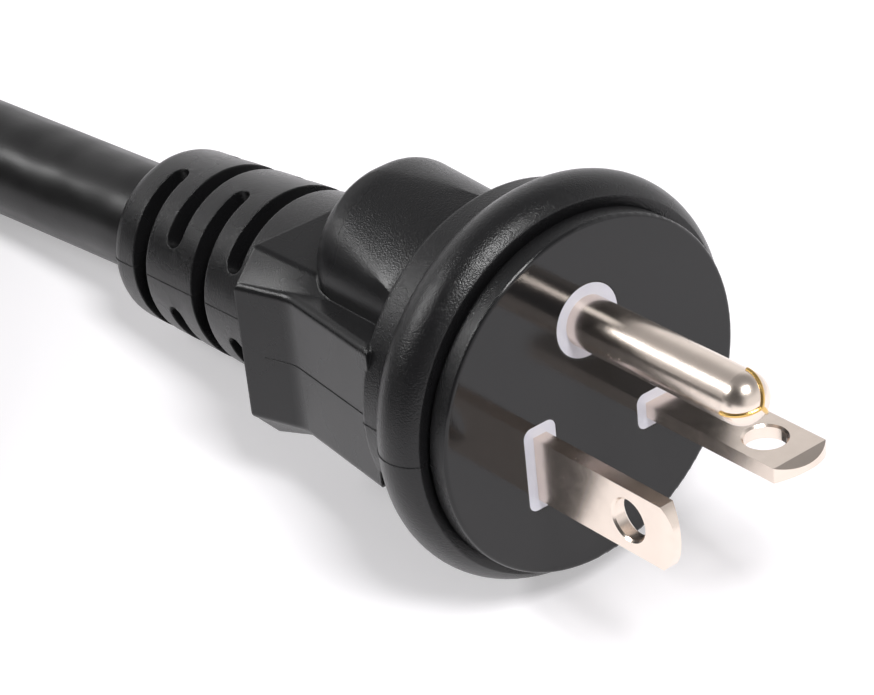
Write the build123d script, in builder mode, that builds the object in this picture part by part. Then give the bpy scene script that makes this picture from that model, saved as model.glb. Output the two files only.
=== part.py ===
from build123d import *
import os
from math import cos, degrees, pi, radians, sin, sqrt, tan

os.makedirs("parts", exist_ok=True)

# All sizes are in millimetres and angles in degrees. The floor is z = 0.
# The pins point towards -Y and the cord leaves towards +Y.

# How the plug lies: its face leans down a little, on the rim of its ring
nose_down = 8.6
face_y = -19.25

# Round face, ring and collar of the moulding
face_radius = 16.85
face_edge = 0.35
collar_radius = 16.6
collar_length = 12.0
collar_edge = 0.6
ring_centre_radius = 15.7
ring_bead = 3.5
ring_station = 5.1
ring_end_angle = 53.0
ring_groove_radius = 15.9
ring_groove_front = 2.0
ring_groove_back = 2.6

# Grip behind the collar. Its middle, the hump and the cord sit left of the face centre
grip_offset = -3.0
grip_length = 30.0
grip_start_depth = 11.2
grip_front_left = 15.8
grip_front_right = 13.5
grip_waist_left = 14.55
grip_waist_right = 9.0
grip_rear_left = 16.4
grip_rear_right = 10.4
grip_waist_depth = 24.3
grip_waist_round = 4.0
grip_half_height = 7.3
grip_edge = 0.8

# Ramps above and below the grip, highest at the rear
ramp_rear_half = 13.1
ramp_rear_top_half = 10.5
ramp_rear_height = 10.0
ramp_front_half = 9.0
ramp_front_top_half = 7.0
ramp_front_height = 7.45
ramp_front_depth = 17.0
ramp_rear_side = 7.0
ramp_front_side = 6.9
ramp_edge = 0.8

# Hump over the ground pin: an arch that rises to the rear, under a cone from the collar's edge
hump_offset = -3.62
hump_half = 8.78
hump_front_height = 16.4
hump_rear_height = 17.1
hump_rear_depth = 23.7
hump_shoulder = 8.3
hump_rim = 2.2
hump_reach_front = 16.1
hump_reach_rear = 17.9

# Strain relief, moulded with the body, sagging a little to the floor
relief_drop = 0.9
relief_droop = 3.1
relief_yaw = 2.0
relief_length = 28.5
relief_root_radius = 9.4
relief_end_radius = 7.9
relief_end_round = 2.8
relief_sink = 6.0
slot_first = 7.7
slot_pitch = 5.0
slot_count = 4
slot_width = 2.4
slot_span = 140.0
slot_roll = 10.0
slot_floor_wall = 0.7
slot_reach = 2.6

# Pins: two flat blades at right angles and a round ground pin
pin_spacing = 11.89
ground_height = 7.7
blade_left = 6.35
blade_right = 9.12
blade_width = 6.35
blade_thickness = 1.5
blade_length = 17.3
blade_tip_arch = 1.2
blade_tip_bevel = 0.42
blade_bevel_length = 1.2
blade_hole_radius = 1.95
blade_hole_bevel = 0.2
blade_hole_station = 11.9
ground_pin_radius = 2.4
ground_pin_length = 21.4
ground_pin_tip = 2.3
ground_shank_radius = 1.9
pin_shank = 6.0
barrel_length = 5.0
barrel_radius = 2.3

# White carrier that holds the pins and shows as collars at the face
collar_margin = 1.05
ground_collar_margin = 1.1
blade_collar_corner = 0.9
bridge_cover = 2.45
bridge_front = 2.5
bridge_back = 5.5

# Cord: jacket, insulated wires and their bare copper ends
cord_radius = 5.6
core_radius = 1.85
core_lay_radius = 2.55
core_lay_angles = (210.0, 330.0, 90.0)
core_lead = 2.6
core_bend = 2.6
strand_radius = 1.15
strand_length = 4.5
jacket_overlap = 2.0
lead_straight = 42.9
tail_straight = 36.0

# Coil of the cord's spare length, on the floor, two turns wide and two high
coil_centre = (-102.6, 99.6)
coil_mean_radius = 66.5
coil_columns = 2
coil_layers = 2
coil_edge = 2.6
coil_entry_angle = 32.0
coil_exit_angle = 180.0

# Strap round the coil
strap_angle = 106.0
strap_width = 11.0
strap_thickness = 0.9

# Connector at the far end: insert with three slots, shell and strain relief
connector_face = (-149.2, -67.7)
connector_heading = 13.3
insert_width = 30.2
insert_height = 22.0
insert_depth = 24.0
insert_corner = 2.6
slot_face_width = 8.6
slot_face_height = 2.6
slot_face_depth = 3.0
contact_side_step = 0.4
contact_top_step = 0.5
contact_side_wall = 0.65
contact_top_wall = 0.75
contact_end = 17.0
contact_back_wall = 2.0
contact_positions = ((-6.5, -4.0), (6.5, -4.0), (0.0, 4.0))
shell_start = 18.0
shell_length = 50.0
shell_side_wall = 1.9
shell_top_wall = 1.3
shell_rear_width = 23.0
shell_rear_height = 19.6
shell_shoulder = 34.0
shell_corner = 4.0

# Frames of the plug, worked out from how it lies
tilt = radians(nose_down)
face_z = ring_centre_radius * cos(tilt) + ring_station * sin(tilt) + ring_bead
plug = Plane(origin=(0, face_y, face_z), x_dir=(1, 0, 0), z_dir=(0, -cos(tilt), sin(tilt)))
blade_height = ground_height - pin_spacing

# Sizes that follow from what they fit: relief slots, contacts and the connector's shell
slot_floor_radius = cord_radius + slot_floor_wall
slot_outer_radius = relief_root_radius + slot_reach
contact_width = slot_face_width + 2 * contact_side_step
contact_height = slot_face_height + 2 * contact_top_step
contact_gap_width = contact_width - 2 * contact_side_wall
contact_gap_height = contact_height - 2 * contact_top_wall
contact_gap_end = contact_end - contact_back_wall
shell_front_width = insert_width + 2 * shell_side_wall
shell_front_height = insert_height + 2 * shell_top_wall


def on_plug(across, up, back):
    """World point of a place given across, up and back from the centre of the face."""
    return plug.origin + plug.x_dir * across + plug.y_dir * up - plug.z_dir * back


def section_plane(frame):
    """Plane through a frame's axis, with radius along its x and the axis along its y."""
    return Plane(origin=frame.origin, x_dir=frame.x_dir, z_dir=-frame.y_dir)


def plan_plane(frame):
    """Plane through the face centre, with x across and y back from the face."""
    return Plane(origin=frame.origin, x_dir=frame.x_dir, z_dir=frame.y_dir)


def slot_pair(frame, station, first_angle):
    """Two opposite slots round a strain relief, each with round ends."""
    half_end = degrees(slot_width / 2 / relief_root_radius)
    with BuildPart() as pair:
        for turn in (0, 180):
            start = first_angle + turn - slot_span / 2 + half_end
            sweep_angle = slot_span - 2 * half_end
            with BuildSketch(frame.offset(station - slot_width / 2)):
                with BuildLine():
                    outer = CenterArc((0, 0), slot_outer_radius, start, sweep_angle)
                    inner = CenterArc((0, 0), slot_floor_radius, start, sweep_angle)
                    Line(outer @ 0, inner @ 0)
                    Line(outer @ 1, inner @ 1)
                make_face()
            extrude(amount=slot_width)
            for angle in (start, start + sweep_angle):
                spoke = frame.x_dir * cos(radians(angle)) + frame.y_dir * sin(radians(angle))
                foot = frame.origin + frame.z_dir * station + spoke * slot_floor_radius
                with BuildSketch(Plane(origin=foot, z_dir=spoke)):
                    Circle(slot_width / 2)
                extrude(amount=slot_outer_radius - slot_floor_radius)
    return pair.part


def relief_solid(frame, root_radius, end_radius, length, sink):
    """Tapered strain relief with a round end and staggered slots."""
    with BuildPart() as blank:
        with BuildSketch(section_plane(frame)):
            with BuildLine():
                Polyline(
                    (0, -sink),
                    (root_radius, -sink),
                    (root_radius, 0),
                    (end_radius, length),
                    (0, length),
                    close=True,
                )
            make_face()
        revolve(axis=Axis(frame.origin, frame.z_dir))
        fillet(blank.faces().sort_by(Axis(frame.origin, frame.z_dir))[-1].edges(), relief_end_round)
    cutters = [
        slot_pair(frame, slot_first + slot_pitch * row, slot_roll + 90 * ((row + 1) % 2))
        for row in range(slot_count)
    ]
    with BuildPart() as relief:
        add(blank.part)
        for cutter in cutters:
            add(cutter, mode=Mode.SUBTRACT)
    return relief.part


# Strain relief frame: its root is at the back of the grip
relief_pitch = radians(nose_down + relief_droop)
relief_turn = radians(relief_yaw)
tail = Plane(
    origin=on_plug(grip_offset, -relief_drop, grip_length),
    x_dir=(cos(relief_turn), sin(relief_turn), 0),
    z_dir=(
        -sin(relief_turn) * cos(relief_pitch),
        cos(relief_turn) * cos(relief_pitch),
        -sin(relief_pitch),
    ),
)


# Moulded body: face disc, groove, ring and collar, turned about the pin axis
bead_end = (
    ring_centre_radius + ring_bead * cos(radians(ring_end_angle)),
    ring_bead * sin(radians(ring_end_angle)) - ring_station,
)
bead_back = ring_station + sqrt(ring_bead**2 - (collar_radius - ring_centre_radius) ** 2)
with BuildPart() as front:
    with BuildSketch(section_plane(plug)):
        with BuildLine():
            Polyline(
                (0, -collar_length),
                (0, 0),
                (face_radius, 0),
                (face_radius, -ring_groove_front),
                (ring_groove_radius, -ring_groove_front),
                (ring_groove_radius, -ring_groove_back),
                bead_end,
            )
            ThreePointArc(
                bead_end,
                (ring_centre_radius + ring_bead, -ring_station),
                (collar_radius, -bead_back),
            )
            Polyline(
                (collar_radius, -bead_back),
                (collar_radius, -collar_length),
                (0, -collar_length),
            )
        make_face()
    revolve(axis=Axis(plug.origin, plug.z_dir))
    along = Axis(plug.origin, plug.z_dir)
    fillet(front.faces().sort_by(along)[-1].edges(), face_edge)
    fillet(front.faces().sort_by(along)[0].edges(), collar_edge)

# Grip: waisted side faces, with ramps that rise to the rear above and below
with BuildPart() as grip:
    with BuildSketch(plan_plane(plug)):
        with BuildLine():
            Polyline(
                (-grip_front_left, grip_start_depth),
                (-grip_waist_left, grip_waist_depth),
                (-grip_rear_left, grip_length),
                (grip_rear_right, grip_length),
                (grip_waist_right, grip_waist_depth),
                (grip_front_right, grip_start_depth),
                close=True,
            )
        outline = make_face()
        waist = [point for point in outline.vertices() if abs(point.Y - grip_waist_depth) < 0.01]
        fillet(waist, grip_waist_round)
    extrude(amount=grip_half_height, both=True)
    long_edges = grip.faces().filter_by(Axis(plug.origin, plug.y_dir)).edges()
    fillet(long_edges, grip_edge)

with BuildPart() as ramps:
    for depth, half, top_half, height, side in (
        (grip_length, ramp_rear_half, ramp_rear_top_half, ramp_rear_height, ramp_rear_side),
        (
            ramp_front_depth,
            ramp_front_half,
            ramp_front_top_half,
            ramp_front_height,
            ramp_front_side,
        ),
    ):
        with BuildSketch(plug.offset(-depth)):
            with BuildLine():
                Polyline(
                    (grip_offset - half, -side),
                    (grip_offset - half, side),
                    (grip_offset - top_half, height),
                    (grip_offset + top_half, height),
                    (grip_offset + half, side),
                    (grip_offset + half, -side),
                    (grip_offset + top_half, -height),
                    (grip_offset - top_half, -height),
                    close=True,
                )
            make_face()
    loft(ruled=True)
    ends = ramps.faces().filter_by(Axis(plug.origin, plug.z_dir)).edges()
    ridges = [
        edge
        for edge in ramps.edges()
        if edge not in ends
        and abs((edge.center() - plug.origin).dot(plug.y_dir)) > grip_half_height
    ]
    fillet(ridges, ramp_edge)

# Hump over the ground pin, round at its shoulders and at the rear
with BuildPart() as hump:
    for depth, height in (
        (grip_start_depth, hump_front_height),
        (hump_rear_depth, hump_rear_height),
    ):
        with BuildSketch(plug.offset(-depth)):
            with BuildLine():
                Polyline(
                    (hump_offset - hump_half, 0),
                    (hump_offset - hump_half, height),
                    (hump_offset + hump_half, height),
                    (hump_offset + hump_half, 0),
                    close=True,
                )
            arch = make_face()
            fillet(arch.vertices().group_by(Axis.Y)[-1], hump_shoulder)
    loft(ruled=True)
    rear = hump.faces().sort_by(Axis(plug.origin, plug.z_dir))[0]
    rim = rear.edges().sort_by(Axis(plug.origin, plug.y_dir))[1:]
    fillet(rim, hump_rim)

# The hump stays under the collar's edge at the front
with BuildPart() as reach:
    with BuildSketch(plug.offset(-grip_start_depth)):
        Circle(hump_reach_front)
    with BuildSketch(plug.offset(-hump_rear_depth)):
        Circle(hump_reach_rear)
    loft(ruled=True)

with BuildPart() as crown:
    add(hump.part)
    add(reach.part, mode=Mode.INTERSECT)

relief = relief_solid(tail, relief_root_radius, relief_end_radius, relief_length, relief_sink)


def blade_solid(across, up, upright):
    """Flat blade with an arched, bevelled tip, a hole and a crimp barrel behind it."""
    wide = plug.y_dir if upright else plug.x_dir
    flat = Plane(origin=on_plug(across, up, 0), x_dir=wide, z_dir=wide.cross(plug.z_dir))
    side = Plane(origin=flat.origin, x_dir=flat.z_dir, z_dir=-wide)
    with BuildPart() as blade:
        with BuildSketch(flat):
            with BuildLine():
                Polyline(
                    (-blade_width / 2, blade_length - blade_tip_arch),
                    (-blade_width / 2, -pin_shank),
                    (blade_width / 2, -pin_shank),
                    (blade_width / 2, blade_length - blade_tip_arch),
                )
                ThreePointArc(
                    (blade_width / 2, blade_length - blade_tip_arch),
                    (0, blade_length),
                    (-blade_width / 2, blade_length - blade_tip_arch),
                )
            make_face()
        extrude(amount=blade_thickness / 2, both=True)
        with BuildSketch(side):
            with BuildLine():
                Polyline(
                    (-blade_thickness / 2, -pin_shank),
                    (blade_thickness / 2, -pin_shank),
                    (blade_thickness / 2, blade_length - blade_bevel_length),
                    (blade_thickness / 2 - blade_tip_bevel, blade_length),
                    (blade_tip_bevel - blade_thickness / 2, blade_length),
                    (-blade_thickness / 2, blade_length - blade_bevel_length),
                    close=True,
                )
            make_face()
        extrude(amount=blade_width, both=True, mode=Mode.INTERSECT)
        with BuildSketch(plug.offset(-pin_shank - barrel_length)):
            with Locations((across, up)):
                Circle(barrel_radius)
        extrude(amount=barrel_length)
        with BuildSketch(plug.offset(-pin_shank - barrel_length)):
            with Locations((across, up)):
                Circle(strand_radius)
        extrude(amount=strand_length, mode=Mode.SUBTRACT)
        with BuildSketch(flat):
            with Locations((0, blade_hole_station)):
                Circle(blade_hole_radius)
        extrude(amount=blade_thickness, both=True, mode=Mode.SUBTRACT)
        circles = blade.edges().filter_by(GeomType.CIRCLE)
        rims = [edge for edge in circles if abs(edge.radius - blade_hole_radius) < 0.01]
        chamfer(rims, blade_hole_bevel)
    return blade.part


def strand_solid(frame, across, up, depth):
    """Bare copper end of a wire, filling a crimp barrel that ends at this depth."""
    with BuildPart() as strand:
        with BuildSketch(frame.offset(-depth)):
            with Locations((across, up)):
                Circle(strand_radius)
        extrude(amount=strand_length)
    return strand.part


def core_solid(start, start_direction, end, end_direction):
    """Insulated wire from a crimp barrel to the cut end of the jacket."""
    with BuildPart() as core:
        with BuildLine() as path:
            FilletPolyline(
                start,
                start + start_direction * core_lead,
                end - end_direction * core_lead,
                end,
                radius=core_bend,
            )
        with BuildSketch(Plane(origin=start, z_dir=start_direction)):
            Circle(core_radius)
        sweep(path=path.wires()[0])
    return core.part


def cord_tube(points, name):
    """Round tube along straight runs joined by the largest tangent arcs."""
    corners = [Vector(point) for point in points]
    runs = [(after - before).length for before, after in zip(corners, corners[1:])]
    radii = []
    for index in range(1, len(corners) - 1):
        into = corners[index] - corners[index - 1]
        away = corners[index + 1] - corners[index]
        half_turn = radians(into.get_angle(away)) / 2
        radii.append(0.45 * min(runs[index - 1], runs[index]) / tan(half_turn))
    with BuildPart() as tube:
        with BuildLine() as route:
            FilletPolyline(*corners, radius=radii)
        with BuildSketch(Plane(origin=corners[0], z_dir=corners[1] - corners[0])):
            Circle(cord_radius)
        sweep(path=route.wires()[0])
    length = route.wires()[0].length
    expected = pi * cord_radius**2 * length
    print(
        name,
        "runs",
        [round(run, 1) for run in runs],
        "radii",
        [round(radius, 1) for radius in radii],
        "length",
        round(length, 1),
        "volume ratio",
        round(tube.part.volume / expected, 5),
    )
    return tube.part, length


def ring_sector(inset, start_angle, sweep_angle):
    """Part of the coil's ring, its outline drawn in by the inset."""
    radial = Vector(cos(radians(start_angle)), sin(radians(start_angle)), 0)
    centre = Vector(coil_centre[0], coil_centre[1], 0)
    with BuildPart() as sector:
        face = Plane(origin=centre, x_dir=radial, z_dir=radial.cross(Vector(0, 0, 1)))
        with BuildSketch(face) as section:
            with Locations((coil_mean_radius, coil_layers * cord_radius)):
                Rectangle(
                    2 * (coil_columns * cord_radius - inset),
                    2 * (coil_layers * cord_radius - inset),
                )
            chamfer(section.vertices(), coil_edge - inset * (2 - sqrt(2)))
        revolve(axis=Axis(centre, (0, 0, 1)), revolution_arc=sweep_angle)
    return sector.part


# Pins of the plug
blade_vertical = blade_solid(-blade_left, blade_height, True)
blade_horizontal = blade_solid(blade_right, blade_height, False)

with BuildPart() as ground_pin:
    with BuildSketch(plug):
        with Locations((0, ground_height)):
            Circle(ground_pin_radius)
    extrude(amount=ground_pin_length)
    with BuildSketch(plug.offset(-pin_shank - barrel_length)):
        with Locations((0, ground_height)):
            Circle(ground_shank_radius)
    extrude(amount=pin_shank + barrel_length)
    fillet(
        ground_pin.faces().sort_by(Axis(plug.origin, plug.z_dir))[-1].edges(),
        ground_pin_tip,
    )
    with BuildSketch(plug.offset(-pin_shank - barrel_length)):
        with Locations((0, ground_height)):
            Circle(strand_radius)
    extrude(amount=strand_length, mode=Mode.SUBTRACT)

# Carrier plate with a collar round each pin
with BuildPart() as bridge:
    with BuildSketch(plug.offset(-bridge_back)):
        Circle(face_radius - bridge_cover)
    extrude(amount=bridge_back - bridge_front)
    with BuildSketch(plug.offset(-bridge_back)):
        with Locations((0, ground_height)):
            Circle(ground_pin_radius + ground_collar_margin)
        with Locations((-blade_left, blade_height)):
            RectangleRounded(
                blade_thickness + 2 * collar_margin,
                blade_width + 2 * collar_margin,
                blade_collar_corner,
            )
        with Locations((blade_right, blade_height)):
            RectangleRounded(
                blade_width + 2 * collar_margin,
                blade_thickness + 2 * collar_margin,
                blade_collar_corner,
            )
    extrude(amount=bridge_back)
    add(blade_vertical, mode=Mode.SUBTRACT)
    add(blade_horizontal, mode=Mode.SUBTRACT)
    add(ground_pin.part, mode=Mode.SUBTRACT)

# Wires of the plug: where each pin sits, and where its wire lies in the jacket
barrel_end = pin_shank + barrel_length
wire_places = {
    "line_1": (-blade_left, blade_height),
    "line_2": (blade_right, blade_height),
    "ground": (0.0, ground_height),
}
plug_wires = {}
for (wire, (across, up)), lay_angle in zip(wire_places.items(), core_lay_angles):
    lay = Vector(cos(radians(lay_angle)), sin(radians(lay_angle)), 0) * core_lay_radius
    entry = tail.origin + tail.x_dir * lay.X - tail.y_dir * lay.Y - tail.z_dir * jacket_overlap
    plug_wires[f"{wire}_core"] = core_solid(
        on_plug(across, up, barrel_end), -plug.z_dir, entry, tail.z_dir
    )
    plug_wires[f"{wire}_strands"] = strand_solid(plug, across, up, barrel_end)

# Cord from the plug to the coil, on the floor after the strain relief
lead_points = [
    tail.origin - tail.z_dir * jacket_overlap,
    tail.origin + tail.z_dir * lead_straight,
    (-18.2, 100.4, 5.65),
    (-41.5, 137.7, 5.6),
]
cord_lead, lead_length = cord_tube(lead_points, "lead")

# Far connector: where it lies, and its strain relief
heading = radians(connector_heading)
far = Plane(
    origin=(*connector_face, shell_front_height / 2),
    x_dir=(cos(heading), sin(heading), 0),
    z_dir=(sin(heading), -cos(heading), 0),
)
far_tail = Plane(
    origin=far.origin - far.z_dir * shell_length,
    x_dir=far.x_dir,
    z_dir=-far.z_dir,
)

tail_points = [
    (-174.7, 99.6, 16.8),
    (-174.9, 58.0, 15.2),
    far_tail.origin + far_tail.z_dir * tail_straight,
    far_tail.origin - far_tail.z_dir * jacket_overlap,
]
cord_tail, tail_length = cord_tube(tail_points, "tail")

# Coil as one solid of its outer shape, with the strap in a groove round it
strap_sweep = degrees(strap_width / coil_mean_radius)
with BuildPart() as strap:
    add(ring_sector(0, strap_angle, strap_sweep))
    add(ring_sector(strap_thickness, strap_angle - 1, strap_sweep + 2), mode=Mode.SUBTRACT)

with BuildPart() as coil:
    add(ring_sector(0, 0, 360))
    add(strap.part, mode=Mode.SUBTRACT)
    add(cord_lead, mode=Mode.SUBTRACT)
    add(cord_tail, mode=Mode.SUBTRACT)

turns = (coil_exit_angle - coil_entry_angle) / 360 + coil_columns * coil_layers - 1
coil_length = turns * 2 * pi * coil_mean_radius
print("coil turns", round(turns, 2), "cord length", round(lead_length + coil_length + tail_length))

# Contacts, insert and wires of the far connector
contacts = []
for across, up in contact_positions:
    with BuildPart() as contact:
        with BuildSketch(far.offset(-contact_end)):
            with Locations((across, up)):
                Rectangle(contact_width, contact_height)
        extrude(amount=contact_end - slot_face_depth)
        with BuildSketch(far.offset(-contact_gap_end)):
            with Locations((across, up)):
                Rectangle(contact_gap_width, contact_gap_height)
        extrude(amount=contact_gap_end, mode=Mode.SUBTRACT)
        with BuildSketch(far.offset(-contact_end - barrel_length)):
            with Locations((across, up)):
                Circle(barrel_radius)
        extrude(amount=barrel_length)
        with BuildSketch(far.offset(-contact_end - barrel_length)):
            with Locations((across, up)):
                Circle(strand_radius)
        extrude(amount=strand_length, mode=Mode.SUBTRACT)
    contacts.append(contact.part)

with BuildPart() as insert:
    with BuildSketch(far.offset(-insert_depth)):
        RectangleRounded(insert_width, insert_height, insert_corner)
    extrude(amount=insert_depth)
    with BuildSketch(far.offset(-slot_face_depth)):
        with Locations(*contact_positions):
            Rectangle(slot_face_width, slot_face_height)
    extrude(amount=slot_face_depth, mode=Mode.SUBTRACT)
    with BuildSketch(far.offset(-contact_end)):
        with Locations(*contact_positions):
            Rectangle(contact_width, contact_height)
    extrude(amount=contact_end - slot_face_depth, mode=Mode.SUBTRACT)
    with BuildSketch(far.offset(-insert_depth)):
        with Locations(*contact_positions):
            Circle(barrel_radius)
    extrude(amount=insert_depth - contact_end, mode=Mode.SUBTRACT)

far_wires = {}
far_barrel_end = contact_end + barrel_length
for wire, (across, up), lay_angle in zip(wire_places, contact_positions, core_lay_angles):
    lay = Vector(cos(radians(lay_angle)), sin(radians(lay_angle)), 0) * core_lay_radius
    start = far.origin + far.x_dir * across + far.y_dir * up - far.z_dir * far_barrel_end
    entry = (
        far_tail.origin
        + far.x_dir * lay.X
        + far.y_dir * lay.Y
        - far_tail.z_dir * jacket_overlap
    )
    far_wires[f"far_{wire}_core"] = core_solid(start, -far.z_dir, entry, far_tail.z_dir)
    far_wires[f"far_{wire}_strands"] = strand_solid(far, across, up, far_barrel_end)

with BuildPart() as connector_blank:
    with BuildSketch(far.offset(-shell_start)):
        RectangleRounded(shell_front_width, shell_front_height, shell_corner)
    with BuildSketch(far.offset(-shell_shoulder)):
        RectangleRounded(shell_front_width, shell_front_height, shell_corner)
    with BuildSketch(far.offset(-shell_length)):
        RectangleRounded(shell_rear_width, shell_rear_height, shell_corner)
    loft(ruled=True)

far_relief = relief_solid(
    far_tail, relief_root_radius, relief_end_radius, relief_length, relief_sink
)

with BuildPart() as connector_body:
    add(connector_blank.part)
    add(far_relief)
    add(insert.part, mode=Mode.SUBTRACT)
    for contact in contacts:
        add(contact, mode=Mode.SUBTRACT)
    for piece in far_wires.values():
        add(piece, mode=Mode.SUBTRACT)
    add(cord_tail, mode=Mode.SUBTRACT)

# Plug body moulded round its carrier, pins, wires and cord
with BuildPart() as plug_body:
    add(front.part)
    add(grip.part)
    add(ramps.part)
    add(crown.part)
    add(relief)
    add(bridge.part, mode=Mode.SUBTRACT)
    add(blade_vertical, mode=Mode.SUBTRACT)
    add(blade_horizontal, mode=Mode.SUBTRACT)
    add(ground_pin.part, mode=Mode.SUBTRACT)
    for piece in plug_wires.values():
        add(piece, mode=Mode.SUBTRACT)
    add(cord_lead, mode=Mode.SUBTRACT)

pieces = {
    "plug_body": plug_body.part,
    "pin_bridge": bridge.part,
    "line_blade_vertical": blade_vertical,
    "line_blade_horizontal": blade_horizontal,
    "ground_pin": ground_pin.part,
    "cord_lead": cord_lead,
    "cord_coil": coil.part,
    "coil_strap": strap.part,
    "cord_tail": cord_tail,
    "connector_body": connector_body.part,
    "connector_insert": insert.part,
}
for number, contact in enumerate(contacts, start=1):
    pieces[f"contact_{number}"] = contact
pieces.update(plug_wires)
pieces.update(far_wires)

for name, solid in pieces.items():
    solid.label = name
    export_step(solid, f"parts/{name}.step")
print(len(pieces), "pieces, face centre", plug.origin, "tail root", tail.origin)
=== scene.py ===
"""A moulded power cord: finishes, seams and cord, on a pale floor in soft light."""

import logging
import math
from dataclasses import dataclass, field
from enum import Enum
from typing import Any, Callable, Iterable, Sequence

import bpy
from mathutils import Matrix, Vector

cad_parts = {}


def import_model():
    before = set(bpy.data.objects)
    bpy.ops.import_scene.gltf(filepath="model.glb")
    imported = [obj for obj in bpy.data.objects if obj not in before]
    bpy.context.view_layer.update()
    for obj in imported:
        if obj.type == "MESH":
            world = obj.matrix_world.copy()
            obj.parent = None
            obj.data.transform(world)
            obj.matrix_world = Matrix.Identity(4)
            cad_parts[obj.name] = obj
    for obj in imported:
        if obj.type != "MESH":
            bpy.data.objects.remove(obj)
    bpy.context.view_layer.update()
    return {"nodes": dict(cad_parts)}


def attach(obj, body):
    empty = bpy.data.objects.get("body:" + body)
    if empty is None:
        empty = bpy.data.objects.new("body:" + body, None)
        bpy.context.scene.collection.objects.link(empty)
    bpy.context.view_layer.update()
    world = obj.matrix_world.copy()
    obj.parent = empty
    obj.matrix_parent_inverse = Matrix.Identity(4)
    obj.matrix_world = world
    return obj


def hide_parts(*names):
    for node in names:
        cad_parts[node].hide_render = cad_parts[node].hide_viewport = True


log = logging.getLogger("power_cord")
MM = 0.001
WELD_M = 0.000002
CUT_M = 0.0000005
Point = tuple[float, float, float]
Band = tuple[float, float]
Socket = bpy.types.NodeSocket
Piece = bpy.types.Object


def share_of(value: float, start: float, end: float) -> float:
    """How far a value is on its way from start to end, held between 0 and 1."""
    return min(1.0, max(0.0, (value - start) / (end - start)))


def tinted(tone: float, tint: Point) -> Point:
    """A grey tone with each of its three channels scaled."""
    return (tone * tint[0], tone * tint[1], tone * tint[2])


class Slot(Enum):
    """Names of material slots for added pieces; the script does not use them."""

    OVERMOULD = "overmould_black"
    JACKET = "jacket_black"
    BRASS = "contact_brass"


@dataclass(frozen=True)
class PlugFrame:
    """Where the plug's face is and how it leans."""

    origin: Point = (0.0, -0.01925, 0.0197861)
    nose_down: float = 8.6

    @property
    def out(self) -> Vector:
        """Direction in which the pins point."""
        lean = math.radians(self.nose_down)
        return Vector((0.0, -math.cos(lean), math.sin(lean)))

    @property
    def up(self) -> Vector:
        """Direction from the blades to the ground pin."""
        lean = math.radians(self.nose_down)
        return Vector((0.0, math.sin(lean), math.cos(lean)))

    @property
    def across(self) -> Vector:
        """Direction to the right, seen from in front with the ground pin up."""
        return Vector((1.0, 0.0, 0.0))

    def place(self, across: float, up: float, out: float) -> Vector:
        """Row-frame point for a place on the plug.

        Args:
            across: Millimetres to the right of the face centre.
            up: Millimetres above the face centre.
            out: Millimetres in front of the face.

        Returns:
            The point, in metres.
        """
        move = self.across * across + self.up * up + self.out * out
        return Vector(self.origin) + move * MM

    def matrix(self, across: float, up: float, out: float) -> Matrix:
        """Matrix whose axes are across, up and out, at a place on the plug."""
        turn = Matrix((self.across, self.up, self.out)).transposed().to_4x4()
        return Matrix.Translation(self.place(across, up, out)) @ turn


@dataclass(frozen=True)
class Axis:
    """A line that depths and radii are measured from."""

    origin: Vector
    direction: Vector

    def split(self, place: Vector) -> tuple[float, Vector]:
        """Returns a place's depth along the line and its offset from the line."""
        spot = place - self.origin
        depth = spot.dot(self.direction)
        return depth, spot - self.direction * depth

    def place(self, depth: float, offset: Vector) -> Vector:
        """Returns the place at a depth along the line and an offset from it."""
        return self.origin + self.direction * depth + offset


PLUG = PlugFrame()
RELIEF = Axis(
    origin=Vector((-0.003, 0.0102781, 0.0144102)),
    direction=Vector((-0.034151, 0.978633, -0.202779)).normalized(),
)


@dataclass(frozen=True)
class Grain:
    """A noise pattern: the size of one feature, and octaves of finer noise."""

    size_mm: float
    detail: float


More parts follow.
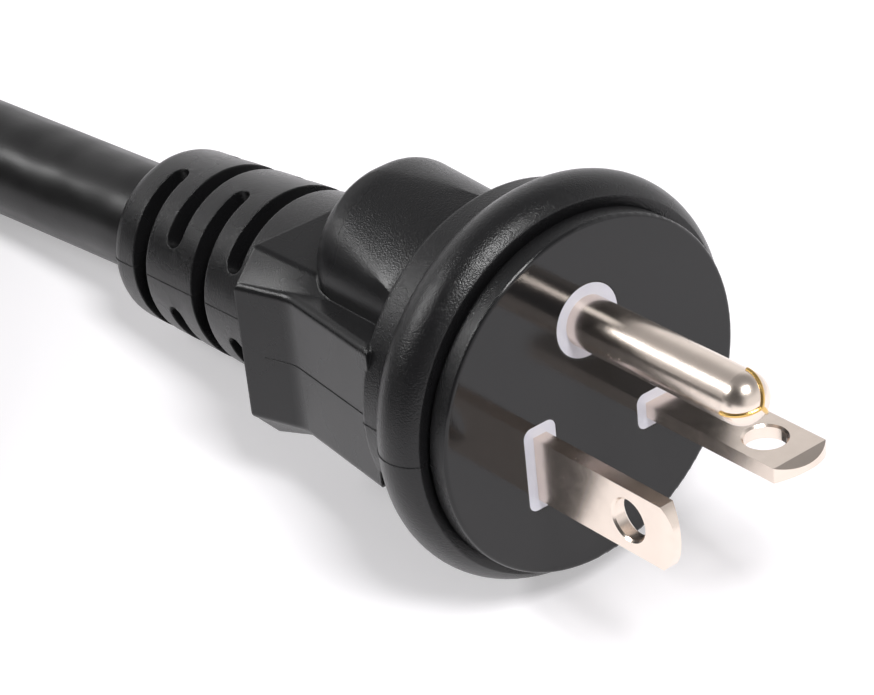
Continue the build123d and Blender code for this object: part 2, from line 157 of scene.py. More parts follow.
class Graph:
    """A node tree while it is put together."""

    def __init__(self, tree: bpy.types.NodeTree) -> None:
        """Empties the tree."""
        self.tree = tree
        self.tree.nodes.clear()

    def node(self, kind: str, **settings: Any) -> bpy.types.Node:
        """Adds a node and sets its properties.

        Args:
            kind: The node's type name.
            **settings: Properties of the node itself, not of its sockets.

        Returns:
            The new node.
        """
        made = self.tree.nodes.new(kind)
        for key, value in settings.items():
            setattr(made, key, value)
        return made

    def join(self, source: Socket, target: Socket) -> None:
        """Links one socket to another."""
        self.tree.links.new(source, target)

    def give(self, socket: Socket, value: Any) -> None:
        """Links a socket to another one, or sets it to a plain value."""
        if isinstance(value, Socket):
            self.join(value, socket)
        else:
            socket.default_value = value

    def math(self, operation: str, first: Any, second: Any = 0.0) -> Socket:
        """Adds a math node.

        Args:
            operation: The sum to do, such as ADD.
            first: A socket or a number.
            second: A socket or a number.

        Returns:
            The result's socket.
        """
        made = self.node("ShaderNodeMath", operation=operation)
        self.give(made.inputs[0], first)
        self.give(made.inputs[1], second)
        return made.outputs[0]

    def times(self, first: Any, *others: Any) -> Socket:
        """Product of sockets or numbers."""
        for other in others:
            first = self.math("MULTIPLY", first, other)
        return first

    def dot(self, vector: Socket, direction: Sequence[float]) -> Socket:
        """Length of a vector along a direction."""
        made = self.node("ShaderNodeVectorMath", operation="DOT_PRODUCT")
        self.join(vector, made.inputs[0])
        made.inputs[1].default_value = direction
        return made.outputs["Value"]

    def step(
        self, value: Any, start: float, end: float, levels: Band = (0.0, 1.0)
    ) -> Socket:
        """Smooth step between two levels.

        Args:
            value: The socket that drives the step.
            start: Where the step starts. It may lie above the end.
            end: Where the step ends.
            levels: The result before the start and after the end.

        Returns:
            The result's socket.
        """
        made = self.node("ShaderNodeMapRange", interpolation_type="SMOOTHSTEP")
        self.give(made.inputs["Value"], value)
        made.inputs["From Min"].default_value = start
        made.inputs["From Max"].default_value = end
        made.inputs["To Min"].default_value = levels[0]
        made.inputs["To Max"].default_value = levels[1]
        return made.outputs["Result"]

    def span(self, share: Any, low: Any, high: float) -> Socket:
        """Spreads a share of 0 to 1 over low to high."""
        made = self.node("ShaderNodeMapRange")
        self.give(made.inputs["Value"], share)
        self.give(made.inputs["To Min"], low)
        made.inputs["To Max"].default_value = high
        return made.outputs["Result"]

    def seen_by(self, *rays: str) -> Socket:
        """1 for the given kinds of ray, such as Is Camera Ray, and 0 for others."""
        light = self.node("ShaderNodeLightPath")
        seen = light.outputs[rays[0]]
        for ray in rays[1:]:
            seen = self.math("MAXIMUM", seen, light.outputs[ray])
        return seen


class Shader(Graph):
    """One material while its nodes are put together."""

    MIX_SHARE, MIX_FIRST, MIX_SECOND, MIX_RESULT = 0, 6, 7, 2

    def __init__(self, name: str) -> None:
        """Starts a material with an output and a principled surface."""
        self.material = bpy.data.materials.new(name)
        self.material.use_nodes = True
        super().__init__(self.material.node_tree)
        output = self.node("ShaderNodeOutputMaterial")
        self.surface = self.node("ShaderNodeBsdfPrincipled")
        self.join(self.surface.outputs["BSDF"], output.inputs["Surface"])
        self.place = self.node("ShaderNodeTexCoord").outputs["Object"]

    def along(self, direction: Vector, origin: Vector) -> Socket:
        """Distance of the surface from a point along a direction, in metres."""
        shift = self.node("ShaderNodeVectorMath", operation="SUBTRACT")
        self.join(self.place, shift.inputs[0])
        shift.inputs[1].default_value = origin
        return self.dot(shift.outputs[0], direction)

    def stretched(self, rotation: Point, scale: Point) -> Socket:
        """Object coordinates, turned and then scaled."""
        made = self.node("ShaderNodeMapping", vector_type="POINT")
        self.join(self.place, made.inputs["Vector"])
        made.inputs["Rotation"].default_value = rotation
        made.inputs["Scale"].default_value = scale
        return made.outputs["Vector"]

    def noise(self, grain: Grain, vector: Any = None) -> Socket:
        """Noise around 0.5, on the object's coordinates if no others are given."""
        made = self.node("ShaderNodeTexNoise")
        self.join(vector or self.place, made.inputs["Vector"])
        made.inputs["Scale"].default_value = 1.0 / (grain.size_mm * MM)
        made.inputs["Detail"].default_value = grain.detail
        return made.outputs[0]

    def mottled(self, middle: float, spread: Band, grain: Grain) -> Socket:
        """A value that varies over the surface, from below to above a middle."""
        return self.span(self.noise(grain), middle + spread[0], middle + spread[1])

    def blend_colour(self, share: Any, first: Point, second: Point) -> Socket:
        """Mixes two colours by a share."""
        made = self.node("ShaderNodeMix", data_type="RGBA")
        self.give(made.inputs[self.MIX_SHARE], share)
        made.inputs[self.MIX_FIRST].default_value = (*first, 1.0)
        made.inputs[self.MIX_SECOND].default_value = (*second, 1.0)
        return made.outputs[self.MIX_RESULT]

    def bump(
        self, height: Any, depth_mm: float, strength: Any = 1.0, under: Any = None
    ) -> Socket:
        """Adds a bump.

        Args:
            height: The height's socket, around 0 to 1.
            depth_mm: What a height of 1 stands for, in millimetres.
            strength: How much of it shows.
            under: The normal of another bump that this one lies on.

        Returns:
            The normal's socket.
        """
        made = self.node("ShaderNodeBump")
        self.join(height, made.inputs["Height"])
        self.give(made.inputs["Strength"], strength)
        made.inputs["Distance"].default_value = depth_mm * MM
        if under is not None:
            self.join(under, made.inputs["Normal"])
        return made.outputs["Normal"]

    def finish(self, **sockets: Any) -> bpy.types.Material:
        """Gives the surface its values.

        Args:
            **sockets: Socket names, with underscores for spaces, and their values.

        Returns:
            The finished material.
        """
        for key, value in sockets.items():
            self.give(self.surface.inputs[key.replace("_", " ")], value)
        return self.material


@dataclass(frozen=True)
class PlugZones:
    """Where the plug's mould is smooth, and where its edges are rounder.

    Each pair says where a zone starts to show and where it shows in full, in
    millimetres behind the face, above its centre or beside the hump's middle.
    """

    face: Band = (0.25, 0.1)
    grip_front: Band = (12.2, 12.8)
    grip_back: Band = (30.2, 29.9)
    hump_middle: float = -3.62
    hump_above: Band = (11.6, 13.6)
    hump_beside: Band = (10.4, 9.2)
    hump_back: Band = (25.4, 24.4)
    crown_front: Band = (13.2, 16.0)
    crown_above: Band = (8.6, 10.8)
    crown_back: Band = (24.6, 23.0)
    grip_smoothness: float = 0.72
    grain_loss: float = 0.93
    face_gloss: float = 0.19

    @staticmethod
    def within(s: Shader, *limits: tuple[Socket, Band]) -> Socket:
        """1 where every distance is inside its limit, and 0 where one is not."""
        steps = [s.step(value, low * MM, high * MM) for value, (low, high) in limits]
        return s.times(*steps)

    def build(self, s: Shader) -> tuple[Socket, Socket, Socket]:
        """Returns the shares of the face, of smooth plastic and of the crown."""
        depth = s.along(-PLUG.out, Vector(PLUG.origin))
        up = s.along(PLUG.up, Vector(PLUG.origin))
        offset = s.along(PLUG.across, PLUG.place(self.hump_middle, 0.0, 0.0))
        side = s.math("ABSOLUTE", offset)
        face = self.within(s, (depth, self.face))
        grip = self.within(s, (depth, self.grip_front), (depth, self.grip_back))
        hump = self.within(
            s, (up, self.hump_above), (side, self.hump_beside), (depth, self.hump_back)
        )
        crown = self.within(
            s,
            (depth, self.crown_front),
            (up, self.crown_above),
            (depth, self.crown_back),
        )
        flat = s.times(grip, s.math("SUBTRACT", 1.0, hump))
        smooth = s.math("MAXIMUM", face, s.times(flat, self.grip_smoothness))
        return face, smooth, crown


@dataclass(frozen=True)
class MouldedPvc:
    """Black moulded PVC with the fine grain of an eroded mould."""

    name: str
    tone: float = 0.007
    dark_tint: Point = (1.0, 1.0, 1.06)
    light_tint: Point = (1.35, 1.33, 1.45)
    wear: Grain = Grain(2.6, 4.0)
    roughness: float = 0.27
    rough_spread: Band = (-0.05, 0.06)
    clouds: Grain = Grain(7.0, 3.0)
    grain: Grain = Grain(0.14, 1.0)
    grain_height_mm: float = 0.042
    edge_mm: float = 0.25
    edge_samples: int = 6
    crown_mm: float = 2.3
    refraction: float = 1.44
    zones: PlugZones | None = None

    def make(self) -> bpy.types.Material:
        """Returns the material, with smooth and rounder parts where it has zones."""
        s = Shader(self.name)
        rough = s.mottled(self.roughness, self.rough_spread, self.clouds)
        strength: Any = 1.0
        radius: Any = self.edge_mm * MM
        if self.zones:
            face, smooth, crown = self.zones.build(s)
            loss = s.times(smooth, self.zones.grain_loss)
            strength = s.math("SUBTRACT", 1.0, loss)
            gloss = s.times(face, self.zones.face_gloss)
            rough = s.math("SUBTRACT", rough, gloss)
            radius = s.math("ADD", radius, s.times(crown, self.crown_mm * MM))
        edge = s.node("ShaderNodeBevel", samples=self.edge_samples)
        s.give(edge.inputs["Radius"], radius)
        return s.finish(
            Base_Color=s.blend_colour(
                s.noise(self.wear),
                tinted(self.tone, self.dark_tint),
                tinted(self.tone, self.light_tint),
            ),
            Roughness=rough,
            Normal=s.bump(
                s.noise(self.grain),
                self.grain_height_mm,
                strength,
                edge.outputs["Normal"],
            ),
            IOR=self.refraction,
        )


@dataclass(frozen=True)
class Jacket:
    """Black extruded cord jacket, satin, with the lay of the wires just showing."""

    name: str = "cord_jacket"
    tone: float = 0.009
    dark_tint: Point = (1.0, 1.0, 1.0)
    light_tint: Point = (1.5, 1.45, 1.5)
    marks: Grain = Grain(1.6, 5.0)
    roughness: float = 0.32
    rough_spread: Band = (-0.07, 0.08)
    clouds: Grain = Grain(3.0, 4.0)
    skin: Grain = Grain(0.35, 2.0)
    skin_height_mm: float = 0.006
    lay: Grain = Grain(9.0, 1.0)
    lay_height_mm: float = 0.55
    refraction: float = 1.44

    def make(self) -> bpy.types.Material:
        """Returns the jacket's material."""
        s = Shader(self.name)
        skin = s.bump(s.noise(self.skin), self.skin_height_mm)
        return s.finish(
            Base_Color=s.blend_colour(
                s.noise(self.marks),
                tinted(self.tone, self.dark_tint),
                tinted(self.tone, self.light_tint),
            ),
            Roughness=s.mottled(self.roughness, self.rough_spread, self.clouds),
            Normal=s.bump(s.noise(self.lay), self.lay_height_mm, under=skin),
            IOR=self.refraction,
        )


@dataclass(frozen=True)
class Metal:
    """Plated or bare metal, brushed along the pins."""

    name: str
    colour: Point
    shade: Point
    tarnish: Grain = Grain(2.2, 3.0)
    roughness: float = 0.24
    rough_spread: Band = (-0.06, 0.07)
    clouds: Grain = Grain(1.1, 4.0)
    brush: Grain = Grain(0.10, 3.0)
    brush_height_mm: float = 0.0022
    stretch: Point = (1.0, 0.05, 1.0)

    def make(self) -> bpy.types.Material:
        """Returns the metal's material."""
        s = Shader(self.name)
        lean = math.radians(PLUG.nose_down)
        strokes = s.stretched((lean, 0.0, 0.0), self.stretch)
        return s.finish(
            Base_Color=s.blend_colour(s.noise(self.tarnish), self.colour, self.shade),
            Metallic=1.0,
            Roughness=s.mottled(self.roughness, self.rough_spread, self.clouds),
            Normal=s.bump(s.noise(self.brush, strokes), self.brush_height_mm),
        )


@dataclass(frozen=True)
class Plastic:
    """Plain plastic, such as the carrier and the wires' insulation."""

    name: str
    colour: Point
    shade: Point
    marks: Grain = Grain(1.8, 3.0)
    roughness: float = 0.42
    rough_spread: Band = (-0.05, 0.05)
    clouds: Grain = Grain(0.8, 3.0)
    skin: Grain = Grain(0.3, 2.0)
    skin_height_mm: float = 0.008
    translucency: float = 0.0
    light_depth_mm: Point = (1.2, 1.1, 1.4)

    def make(self) -> bpy.types.Material:
        """Returns the plastic's material."""
        s = Shader(self.name)
        return s.finish(
            Base_Color=s.blend_colour(s.noise(self.marks), self.colour, self.shade),
            Roughness=s.mottled(self.roughness, self.rough_spread, self.clouds),
            Normal=s.bump(s.noise(self.skin), self.skin_height_mm),
            Subsurface_Weight=self.translucency,
            Subsurface_Radius=Vector(self.light_depth_mm) * MM,
        )


@dataclass(frozen=True)
class HookLoop:
    """Black woven strap with a fuzzy loop face."""

    name: str = "strap_fabric"
    colour: Point = (0.008, 0.008, 0.009)
    shade: Point = (0.035, 0.035, 0.038)
    roughness: float = 0.85
    fuzz: float = 0.3
    thread_mm: float = 0.55
    threads_per_wave: float = 3.0
    thread_height_mm: float = 0.12
    waver: float = 1.5
    loops: Grain = Grain(0.35, 3.0)
    loop_height_mm: float = 0.10

    def make(self) -> bpy.types.Material:
        """Returns the strap's material."""
        s = Shader(self.name)
        weave = s.node(
            "ShaderNodeTexWave", wave_type="BANDS", bands_direction="DIAGONAL"
        )
        s.join(s.place, weave.inputs["Vector"])
        waves_per_metre = 1.0 / (self.thread_mm * MM) / self.threads_per_wave
        weave.inputs["Scale"].default_value = waves_per_metre
        weave.inputs["Distortion"].default_value = self.waver
        threads = s.bump(weave.outputs["Fac"], self.thread_height_mm)
        loops = s.noise(self.loops)
        return s.finish(
            Base_Color=s.blend_colour(loops, self.colour, self.shade),
            Roughness=self.roughness,
            Normal=s.bump(loops, self.loop_height_mm, under=threads),
            Sheen_Weight=self.fuzz,
        )


class Tools:
    """Shared ways to make and shape pieces."""

    @staticmethod
    def clear() -> None:
        """Leaves nothing selected."""
        bpy.ops.object.select_all(action="DESELECT")

    @staticmethod
    def only(piece: Piece) -> Piece:
        """Makes a piece the only selected one, and the active one."""
        Tools.clear()
        piece.hide_set(False)
        piece.select_set(True)
        bpy.context.view_layer.objects.active = piece
        return piece

    @staticmethod
    def add(name: str, data: bpy.types.ID) -> Piece:
        """Puts a camera, a lamp or a curve into the scene."""
        piece = bpy.data.objects.new(name, data)
        bpy.context.scene.collection.objects.link(piece)
        return piece

    @staticmethod
    def bare_copy(source: Piece, name: str) -> Piece:
        """Copies a mesh as an active piece with no parent, keys or material."""
        Tools.only(source)
        bpy.ops.object.duplicate()
        piece = Tools.only(bpy.context.active_object)
        piece.parent = None
        for key in list(piece.keys()):
            del piece[key]
        piece.name = name
        piece.data.name = name
        piece.data.materials.clear()
        return piece

    @staticmethod
    def halve(origin: Sequence[float], normal: Sequence[float], **more: Any) -> None:
        """Cuts the mesh that is in edit mode, and drops what lies behind the plane.

        Args:
            origin: A point on the plane.
            normal: The plane's normal, which points to what stays.
            **more: Other settings of the cut.
        """
        bpy.ops.mesh.select_all(action="SELECT")
        bpy.ops.mesh.bisect(plane_co=origin, plane_no=normal, clear_inner=True, **more)

    @staticmethod
    def weld_and_halve(origin: Vector, normal: Vector, **more: Any) -> None:
        """Welds the active piece's mesh, then halves it and selects none of it."""
        bpy.ops.object.mode_set(mode="EDIT")
        bpy.ops.mesh.select_all(action="SELECT")
        bpy.ops.mesh.remove_doubles(threshold=WELD_M)
        Tools.halve(origin, normal, threshold=CUT_M, **more)
        bpy.ops.mesh.select_all(action="DESELECT")
        bpy.ops.object.mode_set(mode="OBJECT")

    @staticmethod
    def drop(piece: Piece, unwanted: Callable[[Vector], bool]) -> None:
        """Deletes the active piece's vertices at unwanted places."""
        for vertex in piece.data.vertices:
            vertex.select = unwanted(vertex.co)
        bpy.ops.object.mode_set(mode="EDIT")
        bpy.ops.mesh.delete(type="VERT")
        bpy.ops.object.mode_set(mode="OBJECT")

    @staticmethod
    def settle(piece: Piece) -> Piece:
        """Moves a piece's place, turn and size into its mesh."""
        Tools.only(piece)
        bpy.ops.object.transform_apply(location=True, rotation=True, scale=True)
        return piece

    @staticmethod
    def join(pieces: Sequence[Piece], name: str) -> Piece:
        """Joins pieces into one and names it."""
        Tools.only(pieces[0])
        for piece in pieces:
            piece.select_set(True)
        bpy.ops.object.join()
        pieces[0].name = name
        pieces[0].data.name = name
        return pieces[0]

    @staticmethod
    def dress(piece: Piece, material: bpy.types.Material) -> None:
        """Gives a piece one material in all its slots."""
        if not piece.data.materials:
            piece.data.materials.append(material)
        for index in range(len(piece.data.materials)):
            piece.data.materials[index] = material


@dataclass(frozen=True)
class Lamp:
    """A rectangular soft lamp that points at the plug."""

    name: str
    place: Point
    size: tuple[float, float]
    watts: float
    target: Point = (0.0, 0.0, 0.015)

    def build(self) -> None:
        """Makes the lamp."""
        data = bpy.data.lights.new(self.name, "AREA")
        data.shape = "RECTANGLE"
        data.size, data.size_y = self.size
        data.energy = self.watts
        place = Vector(self.place)
        aim = (Vector(self.target) - place).to_track_quat("-Z", "Y")
        holder = Tools.add(self.name, data)
        holder.matrix_world = Matrix.Translation(place) @ aim.to_matrix().to_4x4()


@dataclass(frozen=True)
class Studio:
    """Camera, pale floor, surroundings and soft lamps."""

    camera_place: Point = (-0.14592, -0.17421, 0.18416)
    camera_forward: Point = (0.5101, 0.6169, -0.5993)
    lens_mm: float = 126.21
    sensor_mm: float = 36.0
    nearest: float = 0.01
    floor_size: float = 6.0
    floor_height: float = -0.0002
    floor_clouds: Grain = Grain(60.0, 2.0)
    floor_colour: Point = (0.72, 0.705, 0.725)
    floor_shade: Point = (0.74, 0.725, 0.745)
    floor_roughness: float = 0.9
    floor_glow: float = 0.38
    glow_colour: tuple[float, float, float, float] = (1.0, 0.99, 1.0, 1.0)
    wall_level: float = 0.9
    dark_level: float = 0.10
    dark_side: Point = (-0.956, -0.134, 0.259)
    dark_edge: Band = (0.42, 0.88)
    top_share: float = 0.30
    top_edge: Band = (0.30, 0.80)
    lamps: tuple[Lamp, ...] = (
        Lamp("key", (-0.075, -0.425, 0.846), (0.30, 0.28), 6.3),
        Lamp("rear_left", (-0.554, 0.499, 0.503), (0.28, 0.20), 2.6),
    )

    def camera(self) -> None:
        """Makes the camera at the photograph's place."""
        data = bpy.data.cameras.new("camera")
        data.lens = self.lens_mm
        data.sensor_width = self.sensor_mm
        data.clip_start = self.nearest
        holder = Tools.add("camera", data)
        forward = Vector(self.camera_forward).normalized()
        right = forward.cross(Vector((0.0, 0.0, 1.0))).normalized()
        over = right.cross(forward)
        turn = Matrix((right, over, -forward)).transposed().to_4x4()
        holder.matrix_world = Matrix.Translation(Vector(self.camera_place)) @ turn
        bpy.context.scene.camera = holder

    def floor(self) -> None:
        """Makes a pale floor, a little lit where a camera or a gloss looks at it."""
        Tools.clear()
        bpy.ops.mesh.primitive_plane_add(
            size=self.floor_size, location=(0.0, 0.0, self.floor_height)
        )
        floor = bpy.context.active_object
        floor.name = "floor"
        s = Shader("studio_floor")
        seen = s.seen_by("Is Camera Ray", "Is Glossy Ray", "Is Transmission Ray")
        tone = s.blend_colour(
            s.noise(self.floor_clouds), self.floor_colour, self.floor_shade
        )
        s.finish(
            Base_Color=tone,
            Roughness=self.floor_roughness,
            Specular_IOR_Level=0.0,
            Emission_Color=self.glow_colour,
            Emission_Strength=s.times(seen, self.floor_glow),
        )
        floor.data.materials.append(s.material)

    def world(self) -> None:
        """Makes the surroundings.

        They are plain white where a camera looks at them, also through a piece. As
        light and in a gloss they are bright round the horizon, dimmer above and dark
        on the camera's left.
        """
        world = bpy.data.worlds.new("surroundings")
        bpy.context.scene.world = world
        world.use_nodes = True
        g = Graph(world.node_tree)
        seen = g.seen_by("Is Camera Ray", "Is Transmission Ray")
        place = g.node("ShaderNodeTexCoord").outputs["Generated"]
        apart = g.node("ShaderNodeSeparateXYZ")
        g.join(place, apart.inputs["Vector"])
        toward_dark = g.dot(place, self.dark_side)
        wall = g.step(toward_dark, *self.dark_edge, (self.wall_level, self.dark_level))
        height = g.step(apart.outputs["Z"], *self.top_edge, (1.0, self.top_share))
        back = g.node("ShaderNodeBackground")
        back.inputs["Color"].default_value = self.glow_colour
        g.join(g.span(seen, g.times(wall, height), 1.0), back.inputs["Strength"])
        out = g.node("ShaderNodeOutputWorld")
        g.join(back.outputs["Background"], out.inputs["Surface"])

    def build(self) -> None:
        """Builds the whole studio."""
        self.camera()
        self.floor()
        self.world()
        for lamp in self.lamps:
            lamp.build()
        bpy.context.scene.view_settings.view_transform = "Standard"


@dataclass(frozen=True)
class PartingPlane:
    """One plane on which the halves of a mould meet, and where its line shows."""

    origin: Vector
    normal: Vector
    axis: Axis
    start: float
    end: float
    least_radius: float

    def hides(self, place: Vector) -> bool:
        """Whether the line is out of sight at a place."""
        depth, offset = self.axis.split(place)
        shown = self.start < depth < self.end and offset.length > self.least_radius
        return not shown


@dataclass(frozen=True)
class ReliefSkin:
    """How the strain relief's skin is cut out and grown, in millimetres.

    Depths are measured along the relief, except the start, which is measured
    behind the face.
    """

    start: float = 30.05
    rim_reach: float = 0.05
    rim_sunk: float = 0.3
    bore_radius: float = 5.9
    bore_depth: float = 27.0
    gap: float = 0.03
    floor_radius: float = 6.35
    root_radius: float = 9.4
    taper: float = 1.5
    length: float = 28.5
    root_growth: float = 0.45
    more_growth: float = 0.40
    full_growth_depth: float = 26.0
    longer: float = 0.45
    longer_band: Band = (23.9, 26.4)
    smooth_angle: float = 35.0

    def in_bore(self, place: Vector) -> bool:
        """Whether a place is on the wall of the hole that the cord goes into."""
        depth, offset = RELIEF.split(place)
        return offset.length < self.bore_radius * MM and depth < self.bore_depth * MM

    def grown(self, place: Vector, sunk: float) -> Vector:
        """Where a place on the relief goes.

        Args:
            place: The place, just off the solid below.
            sunk: How far it goes down towards the root, in metres.

        Returns:
            The grown place: the further from the slots' floor, the wider.
        """
        depth, offset = RELIEF.split(place)
        radius = offset.length
        outer = (self.root_radius - self.taper * depth / (self.length * MM)) * MM
        share = share_of(radius, self.floor_radius * MM, outer)
        along = share_of(depth, 0.0, self.full_growth_depth * MM)
        wider = radius + share * (self.root_growth + self.more_growth * along) * MM
        start, end = self.longer_band
        depth += self.longer * MM * share_of(depth, start * MM, end * MM) - sunk
        return RELIEF.place(depth, offset * (wider / radius))

    def build(self, body: Piece) -> Piece:
        """Makes the relief's outer skin, which thickens it towards its free end.

        Args:
            body: The moulded node that the relief is part of.

        Returns:
            The skin, as a mesh with the same slots as the solid below it.
        """
        skin = Tools.bare_copy(body, "relief_skin")
        bpy.ops.mesh.customdata_custom_splitnormals_clear()
        grip_back = PLUG.place(0.0, 0.0, -self.start)
        Tools.weld_and_halve(grip_back, -PLUG.out)
        Tools.drop(skin, self.in_bore)
        for vertex in skin.data.vertices:
            on_rim = (vertex.co - grip_back).dot(-PLUG.out) < self.rim_reach * MM
            sunk = self.rim_sunk * MM if on_rim else 0.0
            vertex.co = self.grown(vertex.co + vertex.normal * self.gap * MM, sunk)
        Tools.only(skin)
        bpy.ops.object.shade_smooth_by_angle(angle=math.radians(self.smooth_angle))
        return skin


@dataclass
class MouldedPlug:
    """The plug: moulding, carrier, pins, the relief's skin and the fine seams."""

    nodes: dict[str, Piece]
    relief_line_up_mm: float = 0.9
    flash_radius_mm: float = 0.075
    flash_roundness: int = 2
    pin_up_mm: float = 7.7
    pin_length_mm: float = 21.4
    pin_radius_mm: float = 2.4
    seam_radius_mm: float = 0.21
    seam_segments: int = 72
    seam_sides: int = 12
    seam_angles: tuple[float, ...] = (70.0, 190.0, 310.0)

    def parting_planes(self) -> tuple[PartingPlane, PartingPlane]:
        """Returns the planes of the body and of the strain relief."""
        centre = Vector(PLUG.origin)
        body = PartingPlane(
            origin=centre,
            normal=PLUG.up,
            axis=Axis(centre, -PLUG.out),
            start=0.4 * MM,
            end=29.9 * MM,
            least_radius=8.0 * MM,
        )
        over = PLUG.across.cross(RELIEF.direction).normalized()
        relief = PartingPlane(
            origin=RELIEF.origin + over * self.relief_line_up_mm * MM,
            normal=over,
            axis=RELIEF,
            start=0.2 * MM,
            end=28.0 * MM,
            least_radius=6.6 * MM,
        )
        return body, relief

    def flash(self, source: Piece, plane: PartingPlane, name: str) -> Piece:
        """Makes the thin ridge that the mould leaves where its halves meet.

        Args:
            source: The piece that carries the ridge.
            plane: The plane of the mould and where its line shows.
            name: The ridge's name.

        Returns:
            The ridge, as a mesh.
        """
        ridge = Tools.bare_copy(source, name)
        Tools.weld_and_halve(plane.origin, plane.normal, clear_outer=True)
        Tools.drop(ridge, plane.hides)
        bpy.ops.object.convert(target="CURVE")
        line = bpy.context.active_object.data
        line.bevel_depth = self.flash_radius_mm * MM
        line.bevel_resolution = self.flash_roundness
        line.use_fill_caps = True
        bpy.ops.object.convert(target="MESH")
        return bpy.context.active_object

    def pin_seams(self) -> Piece:
        """Makes the brass seams on the ground pin's domed tip."""
        seams = []
        centre = self.pin_length_mm - self.pin_radius_mm
        quarter = Matrix.Rotation(math.radians(90.0), 4, "X")
        for angle in self.seam_angles:
            Tools.clear()
            bpy.ops.mesh.primitive_torus_add(
                major_radius=self.pin_radius_mm * MM,
                minor_radius=self.seam_radius_mm * MM,
                major_segments=self.seam_segments,
                minor_segments=self.seam_sides,
            )
            seam = bpy.context.active_object
            bpy.ops.object.mode_set(mode="EDIT")
            for normal in ((1.0, 0.0, 0.0), (0.0, 1.0, 0.0)):
                Tools.halve((0.0, 0.0, 0.0), normal, use_fill=True)
            bpy.ops.object.mode_set(mode="OBJECT")
            turn = Matrix.Rotation(math.radians(angle), 4, "Z")
            tip = PLUG.matrix(0.0, self.pin_up_mm, centre)
            seam.matrix_world = tip @ turn @ quarter
            seams.append(Tools.settle(seam))
        return Tools.join(seams, "ground_pin_seams")

    def build(self) -> list[Piece]:
        """Dresses the plug's nodes, and adds the relief's skin and the seams.

        Returns:
            The added pieces.
        """
        pvc = MouldedPvc("plug_pvc", zones=PlugZones()).make()
        nickel = Metal("nickel_plate", (0.92, 0.81, 0.72), (0.84, 0.73, 0.64)).make()
        brass = Metal(
            "worn_brass", (0.82, 0.56, 0.20), (0.70, 0.44, 0.14), roughness=0.22
        ).make()
        carrier = Plastic(
            "carrier_plastic",
            (0.60, 0.60, 0.67),
            (0.66, 0.66, 0.72),
            roughness=0.40,
            translucency=0.15,
        ).make()
        body = self.nodes["plug_body"]
        Tools.dress(body, pvc)
        Tools.dress(self.nodes["pin_bridge"], carrier)
        for name in ("line_blade_vertical", "line_blade_horizontal", "ground_pin"):
            Tools.dress(self.nodes[name], nickel)
        skin = ReliefSkin().build(body)
        Tools.dress(skin, pvc)
        body_plane, relief_plane = self.parting_planes()
        ridges = [
            self.flash(body, body_plane, "plug_flash_1"),
            self.flash(skin, relief_plane, "plug_flash_2"),
        ]
        ridge = Tools.join(ridges, "plug_flash_line")
        Tools.dress(ridge, pvc)
        seams = self.pin_seams()
        Tools.dress(seams, brass)
        return [skin, ridge, seams]


@dataclass
class SupplyCord:
    """The cord on one smooth line: lead, coil of the spare length, and tail."""

    diameter: float = 0.0112
    length: float = 1.69
    lead: tuple[Point, ...] = (
        (-0.002966, 0.0093, 0.014613),
        (-0.004465, 0.052261, 0.005711),
        (-0.0182, 0.1004, 0.00565),
    )
    tail: tuple[Point, ...] = (
        (-0.1749, 0.0580, 0.0152),
        (-0.16898, 0.01599, 0.0123),
        (-0.16024, -0.02099, 0.0123),
    )
    exit: Point = (-0.003973, 0.038169, 0.008631)
    coil_centre: tuple[float, float] = (-0.1026, 0.0996)
    inner_radius: float = 0.0609
    outer_radius: float = 0.0721
    low: float = 0.0056
    high: float = 0.0168
    entry_angle: float = 32.0
    coil_sweep: float = 1228.0
    inward: Band = (268.0, 343.0)
    rise: Band = (578.0, 628.0)
    outward: Band = (863.0, 938.0)
    leaving: float = 60.0
    points_per_turn: int = 18
    spline_order: int = 3
    steps_per_point: int = 10
    roundness: int = 10
    with_pieces: list[Piece] = field(default_factory=list)

    @staticmethod
    def ease(value: float, start: float, end: float) -> float:
        """Smooth step from 0 at the start to 1 at the end."""
        share = share_of(value, start, end)
        return share * share * (3.0 - 2.0 * share)

    def coil_point(self, sweep: float) -> Point:
        """Place of the cord's middle in the coil.

        Args:
            sweep: Degrees travelled round the coil since its start.

        Returns:
            The control point, in metres. It lies a little outside the coil's
            radius, because the curve cuts the corners between its points.
        """
        gap = self.outer_radius - self.inner_radius
        inward = gap * self.ease(sweep, *self.inward)
        outward = gap * self.ease(sweep, *self.outward)
        radius = self.outer_radius - inward + outward
        rise = (self.high - self.low) * self.ease(sweep, *self.rise)
        leaving = self.ease(sweep, self.coil_sweep - self.leaving, self.coil_sweep)
        spread = 1.0 / math.cos(math.pi / self.points_per_turn) - 1.0
        radius *= 1.0 + spread * (1.0 - leaving)
        angle = math.radians(self.entry_angle + sweep)
        return (
            self.coil_centre[0] + radius * math.cos(angle),
            self.coil_centre[1] + radius * math.sin(angle),
            self.low + rise,
        )

    def route(self) -> list[Point]:
        """Returns the whole route, from the plug to the connector."""
        count = round(self.coil_sweep / 360.0 * self.points_per_turn)
        coil = [self.coil_point(self.coil_sweep * i / count) for i in range(count + 1)]
        return [*self.lead, *coil, *self.tail]

    def build(self, material: bpy.types.Material) -> Piece:
        """Args:
            material: The jacket's material.

        Returns:
            The cord's curve.
        """
        data = bpy.data.curves.new("supply_cord", "CURVE")
        data.dimensions = "3D"
        data.bevel_depth = self.diameter / 2.0
        data.bevel_resolution = self.roundness
        data.resolution_u = self.steps_per_point
        data.use_fill_caps = True
        spline = data.splines.new("NURBS")
        route = self.route()
        spline.points.add(len(route) - 1)
        for point, place in zip(spline.points, route):
            point.co = (*place, 1.0)
        spline.order_u = self.spline_order
        spline.use_endpoint_u = True
        cord = Tools.add("supply_cord", data)
        data.materials.append(material)
        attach(cord, "root")
        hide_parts("cord_lead", "cord_coil", "cord_tail")
        return cord


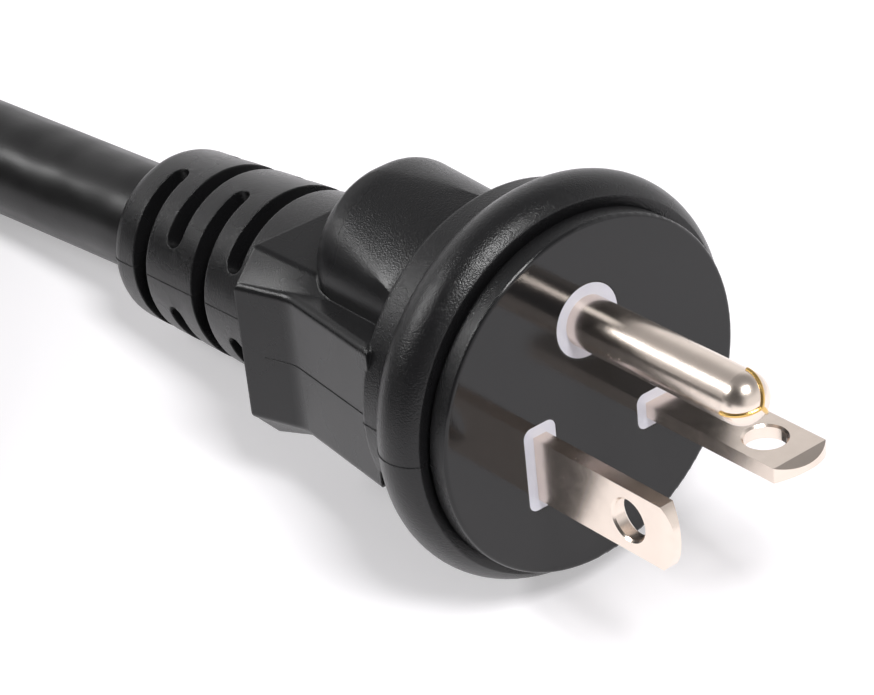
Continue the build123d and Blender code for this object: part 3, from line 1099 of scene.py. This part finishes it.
@dataclass
class FarConnector:
    """The connector at the cord's far end with its contacts, and the coil's strap."""

    nodes: dict[str, Piece]

    def build(self) -> None:
        """Dresses the connector's nodes and the strap."""
        pvc = MouldedPvc("connector_pvc").make()
        insert = MouldedPvc(
            "insert_plastic", tone=0.014, roughness=0.34, grain_height_mm=0.006
        ).make()
        brass = Metal(
            "contact_brass", (0.80, 0.60, 0.30), (0.68, 0.48, 0.22), roughness=0.28
        ).make()
        Tools.dress(self.nodes["connector_body"], pvc)
        Tools.dress(self.nodes["connector_insert"], insert)
        for number in (1, 2, 3):
            Tools.dress(self.nodes[f"contact_{number}"], brass)
        Tools.dress(self.nodes["coil_strap"], HookLoop().make())


@dataclass
class Wires:
    """Insulated wires and their bare ends, inside both mouldings."""

    nodes: dict[str, Piece]
    insulation: dict[str, tuple[Point, Point]] = field(
        default_factory=lambda: {
            "line_1": ((0.012, 0.012, 0.013), (0.02, 0.02, 0.022)),
            "line_2": ((0.80, 0.80, 0.78), (0.74, 0.74, 0.72)),
            "ground": ((0.03, 0.22, 0.08), (0.04, 0.28, 0.10)),
        }
    )

    def build(self) -> None:
        """Dresses the wires."""
        copper = Metal(
            "bare_copper",
            (0.86, 0.48, 0.30),
            (0.72, 0.36, 0.20),
            roughness=0.30,
            brush=Grain(0.4, 3.0),
            brush_height_mm=0.05,
        ).make()
        for wire, (colour, shade) in self.insulation.items():
            jacket = Plastic(f"{wire}_insulation", colour, shade).make()
            for end in ("", "far_"):
                Tools.dress(self.nodes[f"{end}{wire}_core"], jacket)
                Tools.dress(self.nodes[f"{end}{wire}_strands"], copper)


def cord_pieces(nodes: dict[str, Piece]) -> list[Piece]:
    """Returns the nodes that are on the cord, apart from the cord itself."""
    starts = ("coil_strap", "connector_", "contact_", "far_")
    return [node for name, node in sorted(nodes.items()) if name.startswith(starts)]


def main() -> None:
    """Builds the studio and the object."""
    logging.basicConfig(level=logging.INFO, format="%(name)s: %(message)s")
    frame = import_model()
    nodes = frame["nodes"]
    Tools.clear()
    Studio().build()
    log.info("studio ready")
    cord = SupplyCord(with_pieces=cord_pieces(nodes)).build(Jacket().make())
    log.info("%s: %d points", cord.name, len(cord.data.splines[0].points))
    for piece in MouldedPlug(nodes).build():
        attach(piece, "root")
        log.info("%s: %d faces", piece.name, len(piece.data.polygons))
    FarConnector(nodes).build()
    Wires(nodes).build()
    log.info("connector and wires dressed")
    Tools.clear()


if __name__ == "__main__":
    main()
